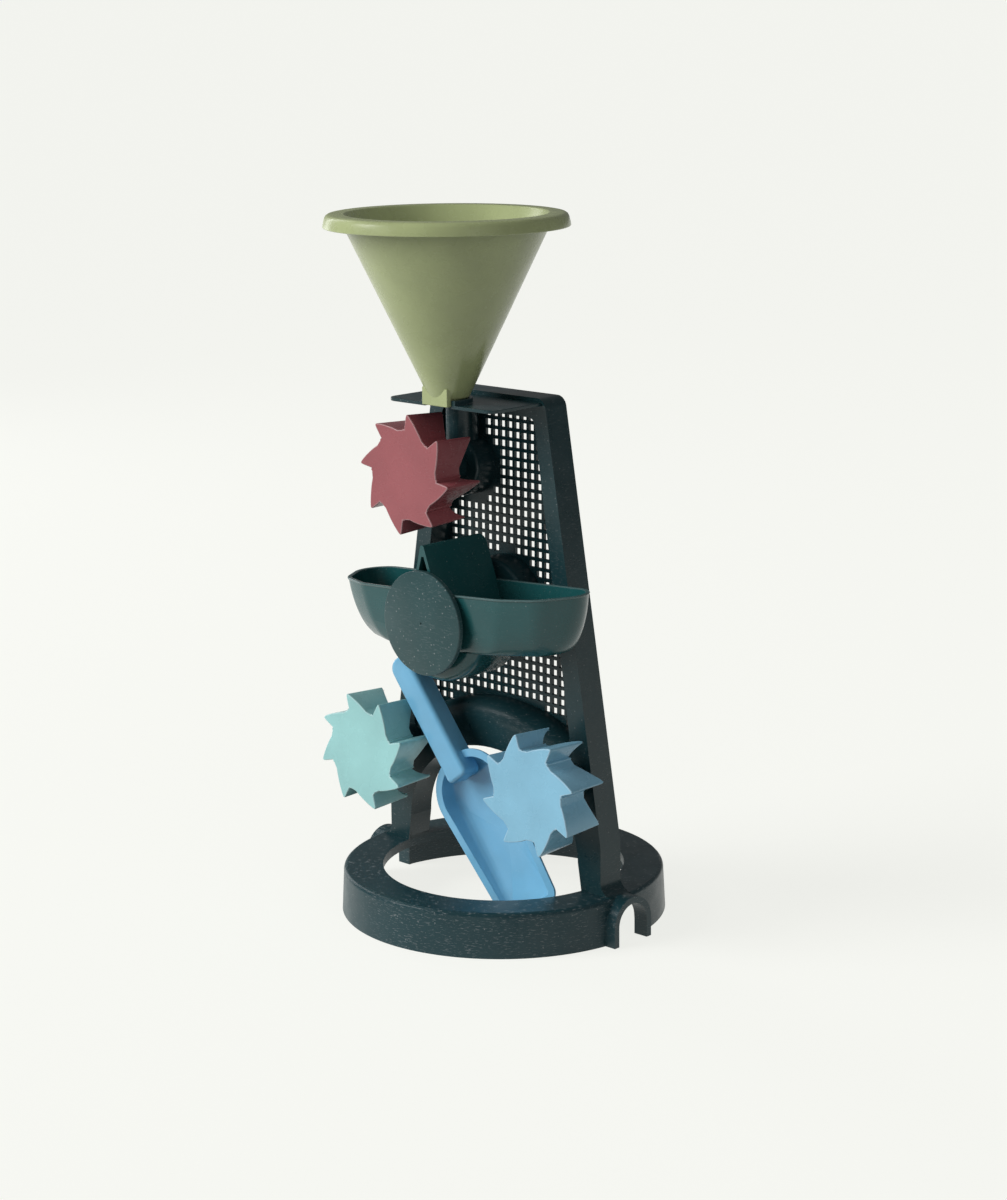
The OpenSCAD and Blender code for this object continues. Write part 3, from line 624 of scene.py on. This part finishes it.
# Degrees from a wheel's turn to its first tip, and to the valley just after that tip
TIP_LEAD, VALLEY_LEAD = 1.2, 3.8
# Steps along the long flank, and shares of the way down the steep one
FLANK_STEPS = 14
STEEP_STEPS = (0.3, 0.42, 0.55, 0.68, 0.8)
# Where the back edge starts to rise past the valley, and how steeply along a tooth's two flanks
RISE_FROM, LONG_RISE, STEEP_RISE = 0.8, 1.2, 2.4
# How near a tip the inner outline draws in to a point, and how much of the tip's shape it keeps
NEAR_TIP, KEPT = 4.4, 0.06
# Share by which a wheel narrows to its back
DRAFT = 0.045
HUB_R, HUB_BORE, HUB_FROM, HUB_STEPS = 7.0, 3.55, 1.5, 48


def polar(r, degrees):
    return Vector((r * math.cos(math.radians(degrees)), r * math.sin(math.radians(degrees))))


def across(way):
    """Unit normal to the right of a way in the plane."""
    return Vector((way.y, -way.x)).normalized()


def fillet(before, corner, after, r, steps):
    """Arc of that radius between the two lines that meet at corner."""
    back, ahead = (before - corner).normalized(), (after - corner).normalized()
    half = back.angle(ahead) / 2
    centre = corner + (back + ahead).normalized() * (r / math.sin(half))
    run = r / math.tan(half)
    start, end = corner + back * run - centre, corner + ahead * run - centre
    return [centre + start.slerp(end, k / steps) for k in range(steps + 1)]


def tooth(size, k, turn):
    """Points of one tooth from the valley before it: place, whether on the steep flank, tip and hollow."""
    pitch = 360 / size.teeth
    last_tip, tip = (polar(size.tip_radius + SHARP_TIP, turn + TIP_LEAD + j * pitch) for j in (k - 1, k))
    valley, next_valley = (polar(size.valley_radius, turn + VALLEY_LEAD + j * pitch) for j in (k - 1, k))
    way = tip - valley
    shares = [j / FLANK_STEPS for j in range(FLANK_STEPS + 1)]
    flank = [valley + way * t + across(way) * size.bow * 4 * t * (1 - t) for t in shares]
    back, ahead = flank[-2] - tip, next_valley - tip
    hollow = tip + (back.normalized() + ahead.normalized()).normalized() * (
        size.wall / math.sin(back.angle(ahead) / 2))
    long_flank = fillet(last_tip, valley, flank[3], VALLEY_ROUND, 5) + flank[3:-2]
    steep_flank = fillet(flank[-2], tip, next_valley, TIP_ROUND, 6) + [tip + ahead * t for t in STEEP_STEPS]
    return [(q, False, tip, hollow) for q in long_flank] + [(q, True, tip, hollow) for q in steep_flank]


def star(size, turn):
    """Outline of a wheel, with the depth of its back edge and its inner outline, point by point."""
    outline = [point for k in range(size.teeth) for point in tooth(size, k, turn)]
    rise_from = size.valley_radius + RISE_FROM
    points = []
    for k, (q, steep, tip, hollow) in enumerate(outline):
        normal = across(outline[(k + 1) % len(outline)][0] - outline[k - 1][0])
        share = min(1.0, max(0.0, (q.length - rise_from) / (size.tip_radius - rise_from)))
        rise = share ** (STEEP_RISE if steep else LONG_RISE)
        inner = q - normal * size.wall
        if (q - tip).length < NEAR_TIP:
            inner = hollow + (q - hollow) * KEPT
        points.append((q, size.drum_depth + (size.blade_depth - size.drum_depth) * rise, inner))
    return points


class SANDWHEEL_OT_wheels(bpy.types.Operator):
    """Makes the three toothed wheels"""
    bl_idname = "sandwheel.wheels"
    bl_label = "Wheels"

    def execute(self, context):
        size = context.scene.sand_wheel_wheels
        skins = context.scene.sand_wheel_skins
        for name, node, key, turn, way in (
                ("burgundy_wheel", "top_wheel", "burgundy", 129.3, 1),
                ("mint_wheel", "left_wheel", "mint", 108.4, 1),
                ("blue_wheel", "right_wheel", "blue", 30.5, -1)):
            centre = middle(node)
            centre.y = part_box(node)[0].y
            finish_piece(context, self.wheel(size, centre, turn, way), name, node, key, skins.blade_edge,
                         segments=2, marked=True, worn=True)
        return {"FINISHED"}

    def wheel(self, size, centre, turn, way):
        """Hollow wheel, open at the back, whose front edge is marked for rounding"""
        points = star(size, turn)

        def ring(inside, share, least=0.0):
            line = []
            for edge, depth, hollow in points:
                flat, deep = hollow if inside else edge, max(least, depth * share)
                taper = 1 - DRAFT * deep / size.blade_depth
                line.append(centre + Vector((way * flat.x * taper, deep, flat.y * taper)) * MM)
            return line

        bm = bmesh.new()
        marks = bm.edges.layers.float.new("bevel_weight_edge")
        loops = loft(bm, [ring(False, 0), ring(False, 0.5), ring(False, 1),
                          ring(True, 1), ring(True, 0.5), ring(True, 0, least=size.face)])
        # Marked edges are rounded, and their rounding is painted paler as a highlight
        for loop, weight in ((loops[0], 1.0), (loops[2], 0.6), (loops[3], 0.6)):
            for edge in loop:
                edge[marks] = weight
        hub = [(HUB_BORE, HUB_FROM), (HUB_R, HUB_FROM), (HUB_R, size.drum_depth),
               (HUB_BORE, size.drum_depth), (HUB_BORE, HUB_FROM)]
        join(bm, spun(hub, centre, Vector((0, 1, 0)), HUB_STEPS))
        return bm


# Tipping bucket

HULL_STEPS, PLAN_STEPS, BELLY_STEPS = 16, 72, 120
# How far the boat's sides and ends close in from the rim to the floor
SIDE_IN, END_IN = 7.0, 18.0
# Points of the lip: below the rim, share of closing in, and inset
LIP = ((1.4, 0.008, 0.0), (1.2, 0.0, -0.4), (0.9, 0.0, -0.6), (0.35, 0.0, -0.6), (0.0, 0.0, -0.3))
# The divider's slope, the roundings of its fold and of its top at the back, and its hollow under the fold
SLOPE, FOLD_ROUND, TOP_ROUND, HOLLOW_UNDER = math.radians(17), 1.6, 5.0, 5.2
# The belly before the ring's centre, and how far each point of its front edge stands in and back
BELLY_FRONT, BELLY_BACK = 58.0, 18.2
BELLY_EDGE = ((7.0, 0.0), (4.3, 0.5), (2.05, 2.05), (0.53, 4.3), (0.0, 7.0))


def in_bucket(size, x, front, up):
    """Point of the tipping bucket from its own axes at the axle, resting with its right end up."""
    tilt = math.radians(size.tilt)
    return at(x * math.cos(tilt) - up * math.sin(tilt), front,
              BUCKET_Z + x * math.sin(tilt) + up * math.cos(tilt))


def closing(t):
    """Share of closing in at that share of the way from the rim to the floor."""
    return 0.2 * t + 0.8 * (1 - math.sqrt(1 - t * t))


def boat_ring(size, share, inset):
    """Plan of the boat as side and front distances, where its sides are drawn in by that share."""
    end, side = END_IN * share, SIDE_IN * share
    # Centres and radii of the plan's rounds, from the boat's ends, front and back
    rounds = [
        (size.half - 40.5 - end, size.front - 27.2 - side, 24),
        (size.half - 25.5 - 0.75 * end, size.front - 28.5 - 0.6 * end, 19.5),
        (size.half - 16 - end, size.back + 16 + 0.3 * side, 16),
        (18, size.front - 3 - side, 2.2),
        (size.half - 27 - end, size.back + 3 + 0.9 * side, 3),
    ]
    return round_outline(rounds, inset, PLAN_STEPS, shift=0.0)


class SANDWHEEL_OT_bucket(bpy.types.Operator):
    """Makes the tipping bucket and its cover disc"""
    bl_idname = "sandwheel.bucket"
    bl_label = "Tipping bucket"

    def execute(self, context):
        size = context.scene.sand_wheel_bucket
        skins = context.scene.sand_wheel_skins
        bm = bmesh.new()
        self.boat(bm, size)
        self.divider(bm, size)
        bmesh.ops.remove_doubles(bm, verts=bm.verts, dist=2e-6)
        bmesh.ops.recalc_face_normals(bm, faces=bm.faces)
        join(bm, self.belly(size))
        finish_piece(context, bm, "bucket_boat", "tipping_bucket", "teal", 0.0, angle=40.0, worn=True)
        finish_piece(context, refined("bucket_disc"), "cover_disc", "bucket_disc", "grey_teal", skins.edge)
        return {"FINISHED"}

    def boat(self, bm, size):
        """The two bowls as one shell with a lip painted paler, a painted highlight"""
        def hull(depth, inset):
            downs = [math.sin(math.pi / 2 * k / HULL_STEPS) for k in range(1, HULL_STEPS + 1)]
            return [(size.rim - depth * t, closing(t), inset) for t in downs]

        depth = size.rim + size.drop
        levels = hull(depth, 0.0)[::-1]
        levels += [(size.rim - down, share, inset) for down, share, inset in LIP]
        levels += [(size.rim, 0.0, size.wall - 0.5), (size.rim - 0.4, 0.0, size.wall)]
        levels += hull(depth - size.wall, size.wall)
        loops = loft(bm, [[in_bucket(size, x, front, up) for x, front in boat_ring(size, share, inset)]
                          for up, share, inset in levels])
        # The lip's faces take the paler plastic, a painted highlight
        for loop in loops[HULL_STEPS + 1:-HULL_STEPS - 1]:
            for edge in loop:
                for face in edge.link_faces:
                    face.material_index = 1

    def divider(self, bm, size):
        """Sheet folded to a sharp roof between the bowls"""
        top, foot, thick = size.divider - FOLD_ROUND, -size.drop + 1, size.wall / math.cos(SLOPE)
        bend_x, bend_z = FOLD_ROUND * math.cos(SLOPE), top + FOLD_ROUND * math.sin(SLOPE)
        heights = [foot + (size.rim - foot) * k / 8 for k in range(9)]
        heights += [size.divider - below for below in (16, 6, 4, 2)] + [bend_z]
        right = [(bend_x + (bend_z - h) * math.tan(SLOPE), h) for h in heights]
        right += [(FOLD_ROUND * math.cos(a), top + FOLD_ROUND * math.sin(a))
                  for a in (SLOPE * 2, math.pi / 3, math.pi / 2)]
        hollow = [(max(0.0, x - thick), min(h, top - HOLLOW_UNDER)) for x, h in right]
        sheets = []
        for half in (right, hollow):
            line = half + [(-x, h) for x, h in reversed(half[:-1])]
            sheets.append([[bm.verts.new(in_bucket(size, x, end(size, h), h))
                            for end in (self.front_of_divider, self.back_of_divider)] for x, h in line])
        outside, inside = sheets
        for k in range(len(outside) - 1):
            (a, b), (c, d) = outside[k], outside[k + 1]
            (e, f), (g, h) = inside[k], inside[k + 1]
            for quad in ((a, b, d, c), (e, g, h, f), (a, c, g, e), (b, f, h, d)):
                bm.faces.new(quad)
        for end in (0, -1):
            (a, b), (e, f) = outside[end], inside[end]
            bm.faces.new((a, b, f, e))

    def front_of_divider(self, size, up):
        """Just behind the middle of the boat's front wall at that height"""
        t = min(1.0, max(0.0, (size.rim - up) / (size.rim + size.drop)))
        return size.front - SIDE_IN * closing(t) - 1

    def back_of_divider(self, size, up):
        over = min(TOP_ROUND, max(0.0, up - (size.divider - TOP_ROUND)))
        return size.back + 1.3 + TOP_ROUND - math.sqrt(TOP_ROUND ** 2 - over ** 2)

    def belly(self, size):
        """Round drum under the bowls, cut off where it meets their floor"""
        profile = [(0.0, -BELLY_FRONT)]
        profile += [(size.belly - inset, back - BELLY_FRONT) for inset, back in BELLY_EDGE]
        profile += [(size.belly, -BELLY_BACK - 3.8), (size.belly - 3, -BELLY_BACK), (0.0, -BELLY_BACK)]
        body = spun(profile, in_bucket(size, 0, 0, 0), Vector((0, 1, 0)), BELLY_STEPS)
        up = in_bucket(size, 0, 0, 1) - in_bucket(size, 0, 0, 0)
        floor = in_bucket(size, 0, 0, 0.6 - size.drop)
        bmesh.ops.bisect_plane(body, geom=body.verts[:] + body.edges[:] + body.faces[:], plane_co=floor,
                               plane_no=up, clear_outer=True)
        return body


# Shovel

# Where the shovel's tip stands: to the side, in front of the ring's centre and up
TIP_X, TIP_FRONT, TIP_Z = 53, 30, 13
# How far the shovel leans to the left, and how far it is turned about its length
LEAN, TURN = math.radians(38), math.radians(6)
# How far in from the outline the rim ends and the scoop's wall begins, behind and in front
RIM_BEHIND, WALL_BEHIND, RIM_BEFORE, WALL_BEFORE = 3.4, 4.2, 4.9, 5.6
# Where the scoop's middle is, how far along it reaches its full depth, and how its floor curves down to it
SCOOP_MIDDLE, FULL_FROM, FALL = 52, 59, 0.8
# Rings of the scoop's floor, from its middle to its wall: size and share of the depth
SCOOP_FLOOR = ((0.12, 1.0), (0.35, 1.0), (0.6, 0.995), (0.76, 0.97), (0.88, 0.91), (0.95, 0.8),
               (0.985, 0.62))
# Roundings of the handle's foot, end and front edge, and its reach before and behind the scoop's rim
FOOT_ROUND, END_ROUND, GRIP_ROUND, GRIP_FRONT, GRIP_BACK = 3.6, 7.5, 2.6, 3.4, 8.0
SCOOP_STEPS, GRIP_STEPS = 96, 64


def in_shovel(x, back, along):
    """Point of the shovel from its own axes at its tip, as it stands in its place."""
    side, deep = x * math.cos(TURN) - back * math.sin(TURN), x * math.sin(TURN) + back * math.cos(TURN)
    return at(TIP_X + side * math.cos(LEAN) - along * math.sin(LEAN), TIP_FRONT - deep,
              TIP_Z + side * math.sin(LEAN) + along * math.cos(LEAN))


class SANDWHEEL_OT_shovel(bpy.types.Operator):
    """Makes the loose shovel"""
    bl_idname = "sandwheel.shovel"
    bl_label = "Shovel"

    def execute(self, context):
        size = context.scene.sand_wheel_shovel
        skins = context.scene.sand_wheel_skins
        bm = bmesh.new()
        self.scoop(bm, size)
        handle = bmesh.new()
        self.handle(handle, size)
        join(bm, handle)
        finish_piece(context, bm, "shovel_scoop", "shovel", "deep_blue", skins.thin_edge, angle=42.0)
        return {"FINISHED"}

    def scoop(self, bm, size):
        """Sheet with a flat rim whose floor deepens from the tip to the back"""
        outline = [(size.tip_half - size.tip_round, size.tip_round, size.tip_round),
                   (size.back_half - size.back_round, size.scoop - size.back_round, size.back_round)]

        def level(inset, behind, shrink=1.0, share=0.0):
            line = []
            for x, along in round_outline(outline, inset, SCOOP_STEPS):
                x, along = x * shrink, SCOOP_MIDDLE + (along - SCOOP_MIDDLE) * shrink
                full = min(1.0, max(0.0, along - 1) / (FULL_FROM - 1))
                deep = size.depth * math.sin(math.pi / 2 * full) ** FALL * share
                line.append(in_shovel(x, deep + behind, along))
            return line

        rings = [level(WALL_BEHIND, size.sheet, shrink, share) for shrink, share in SCOOP_FLOOR]
        rings += [level(RIM_BEHIND, size.sheet), level(0.0, size.sheet), level(0.0, 0.0),
                  level(RIM_BEFORE, 0.0)]
        rings += [level(WALL_BEFORE, 0.0, shrink, share) for shrink, share in reversed(SCOOP_FLOOR)]
        loft(bm, rings)

    def handle(self, bm, size):
        """Hollow handle, open behind, with a rounded front"""
        outline = [(size.grip_half - FOOT_ROUND, size.handle_from + FOOT_ROUND, FOOT_ROUND),
                   (size.grip_half - END_ROUND, size.handle_to - END_ROUND, END_ROUND)]

        def level(inset, back):
            return [in_shovel(x, back, along) for x, along in round_outline(outline, inset, GRIP_STEPS)]

        rings = [level(GRIP_ROUND * (1 - math.sin(a)), -GRIP_FRONT - GRIP_ROUND * math.cos(a))
                 for a in (0, 0.4, 0.8, 1.2, math.pi / 2)]
        rings += [level(0.0, 2.0), level(0.0, GRIP_BACK), level(size.grip_wall, GRIP_BACK),
                  level(size.grip_wall, 2.0), level(size.grip_wall, -4.0)]
        loft(bm, rings)


OPERATORS = (
    SANDWHEEL_OT_stage, SANDWHEEL_OT_base_ring, SANDWHEEL_OT_tower, SANDWHEEL_OT_funnel,
    SANDWHEEL_OT_wheels, SANDWHEEL_OT_bucket, SANDWHEEL_OT_axles, SANDWHEEL_OT_shovel,
)
GROUPS = (
    ("sand_wheel_funnel", SandWheelFunnel),
    ("sand_wheel_wheels", SandWheelWheels),
    ("sand_wheel_bucket", SandWheelBucket),
    ("sand_wheel_shovel", SandWheelShovel),
    ("sand_wheel_skins", SandWheelSkins),
    ("sand_wheel_colours", SandWheelColours),
    ("sand_wheel_stage", SandWheelStage),
)


class SANDWHEEL_PT_panel(bpy.types.Panel):
    """Lists the toy's sizes, colours and pieces in the sidebar"""
    bl_label = "Sand Wheel"
    bl_idname = "SANDWHEEL_PT_panel"
    bl_space_type = "VIEW_3D"
    bl_region_type = "UI"
    bl_category = "Sand Wheel"

    def draw(self, context):
        for name, group in GROUPS:
            box = self.layout.box()
            for value in group.__annotations__:
                box.prop(getattr(context.scene, name), value)
        for operator in OPERATORS:
            self.layout.operator(operator.bl_idname)


CLASSES = tuple(group for name, group in GROUPS) + OPERATORS + (SANDWHEEL_PT_panel,)


def register():
    for cls in CLASSES:
        bpy.utils.register_class(cls)
    for name, group in GROUPS:
        setattr(bpy.types.Scene, name, PointerProperty(type=group))


def unregister():
    for name, group in GROUPS:
        delattr(bpy.types.Scene, name)
    for cls in reversed(CLASSES):
        bpy.utils.unregister_class(cls)


def main():
    register()
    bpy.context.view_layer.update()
    for operator in OPERATORS:
        group, call = operator.bl_idname.split(".")
        getattr(getattr(bpy.ops, group), call)()


if __name__ == "__main__":
    main()
